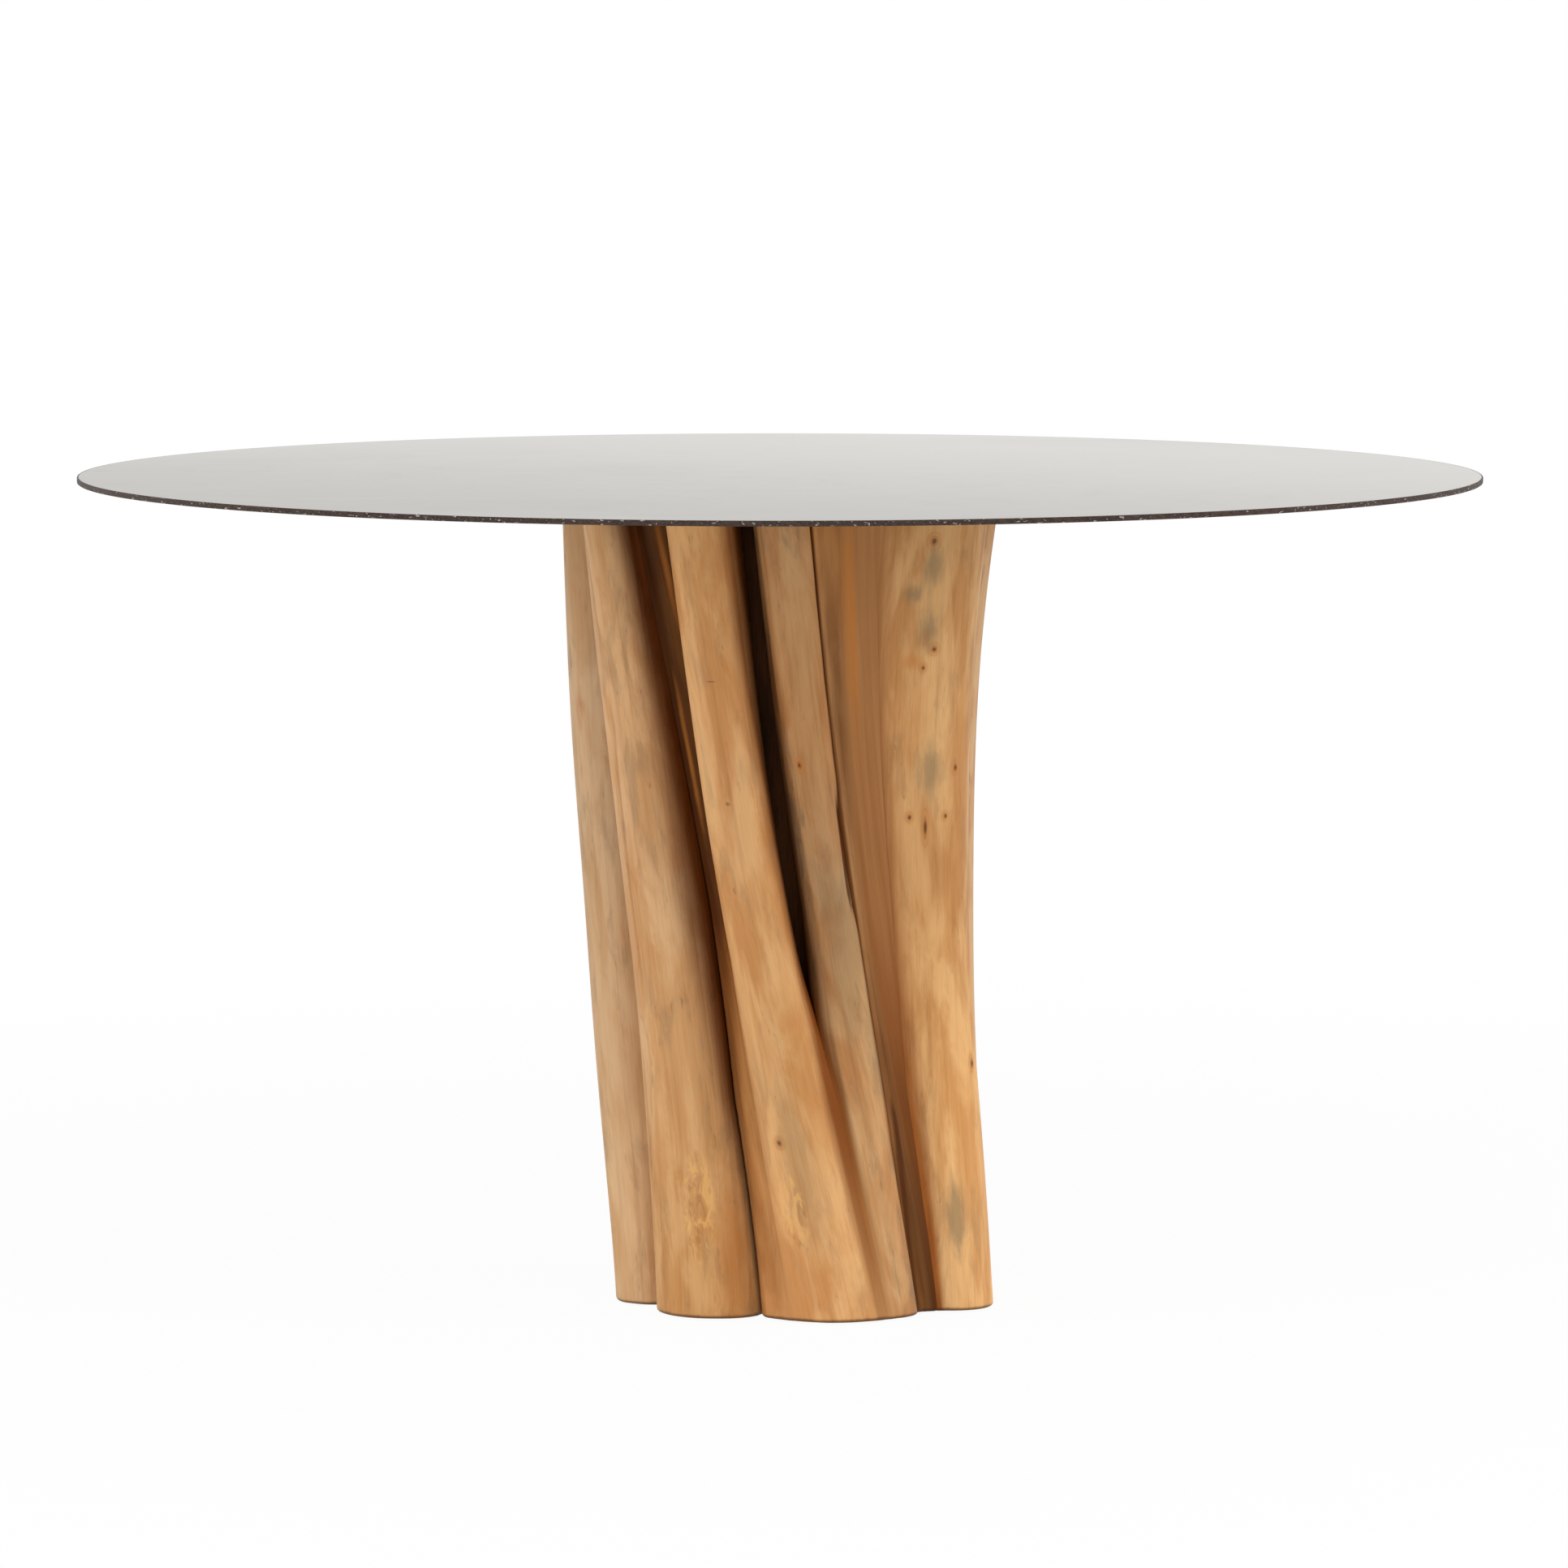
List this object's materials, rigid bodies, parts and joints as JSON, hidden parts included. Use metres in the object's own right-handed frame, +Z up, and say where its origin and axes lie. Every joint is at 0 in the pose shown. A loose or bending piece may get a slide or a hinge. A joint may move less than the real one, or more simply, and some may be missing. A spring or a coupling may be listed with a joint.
{
  "type": "pedestal table",
  "caption": "Round pedestal table: a thin patinated steel plate bolted to a twisted bundle of peeled natural stems on levelling feet.",
  "frame": {"origin": "on the floor under the centre of the round top", "axes": "+Z up, -Y towards the front of the table, where the front stems lean to +X as they go down"},
  "size_m": [1.2998, 1.3, 0.77],
  "materials": {
    "patinated_steel": "hot-rolled plate with a dark waxed patina, its edge cut by hand and left rough",
    "peeled_wood": "peeled natural stems, sanded smooth and oiled, with knots, stains and drying cracks",
    "core_wood": "debarked log, left rough",
    "dowel_wood": "turned beech dowel",
    "spider_steel": "black powder coat",
    "zinc_steel": "bright zinc plate",
    "brass": "plain turned brass",
    "nylon": "moulded black nylon"
  },
  "bodies": {
    "table": {"table_top": "patinated_steel", "mounting_spider": "spider_steel", "weld_studs": "zinc_steel", "top_washers": "zinc_steel", "top_nuts": "zinc_steel", "stem_screws": "zinc_steel", "core_screws": "zinc_steel", "core_log": "core_wood", "lower_dowels": "dowel_wood", "upper_dowels": "dowel_wood", "foot_inserts": "brass", "stem_01": "peeled_wood", "stem_02": "peeled_wood", "stem_03": "peeled_wood", "stem_04": "peeled_wood", "stem_05": "peeled_wood", "stem_06": "peeled_wood", "stem_07": "peeled_wood", "stem_08": "peeled_wood", "stem_09": "peeled_wood", "stem_10": "peeled_wood", "stem_11": "peeled_wood", "stem_12": "peeled_wood", "stem_13": "peeled_wood", "stem_14": "peeled_wood"},
    "foot_1": {"foot_stud_1": "zinc_steel", "foot_pad_1": "nylon"},
    "foot_2": {"foot_stud_2": "zinc_steel", "foot_pad_2": "nylon"},
    "foot_3": {"foot_stud_3": "zinc_steel", "foot_pad_3": "nylon"},
    "foot_4": {"foot_stud_4": "zinc_steel", "foot_pad_4": "nylon"}
  },
  "joints": [
    {"name": "foot_1_travel", "type": "slide", "parent": "table", "child": "foot_1", "axis": [0, 0, -1], "range_m": [-0.0007, 0.01]},
    {"name": "foot_2_travel", "type": "slide", "parent": "table", "child": "foot_2", "axis": [0, 0, -1], "range_m": [-0.0007, 0.01]},
    {"name": "foot_3_travel", "type": "slide", "parent": "table", "child": "foot_3", "axis": [0, 0, -1], "range_m": [-0.0007, 0.01]},
    {"name": "foot_4_travel", "type": "slide", "parent": "table", "child": "foot_4", "axis": [0, 0, -1], "range_m": [-0.0007, 0.01]}
  ]
}
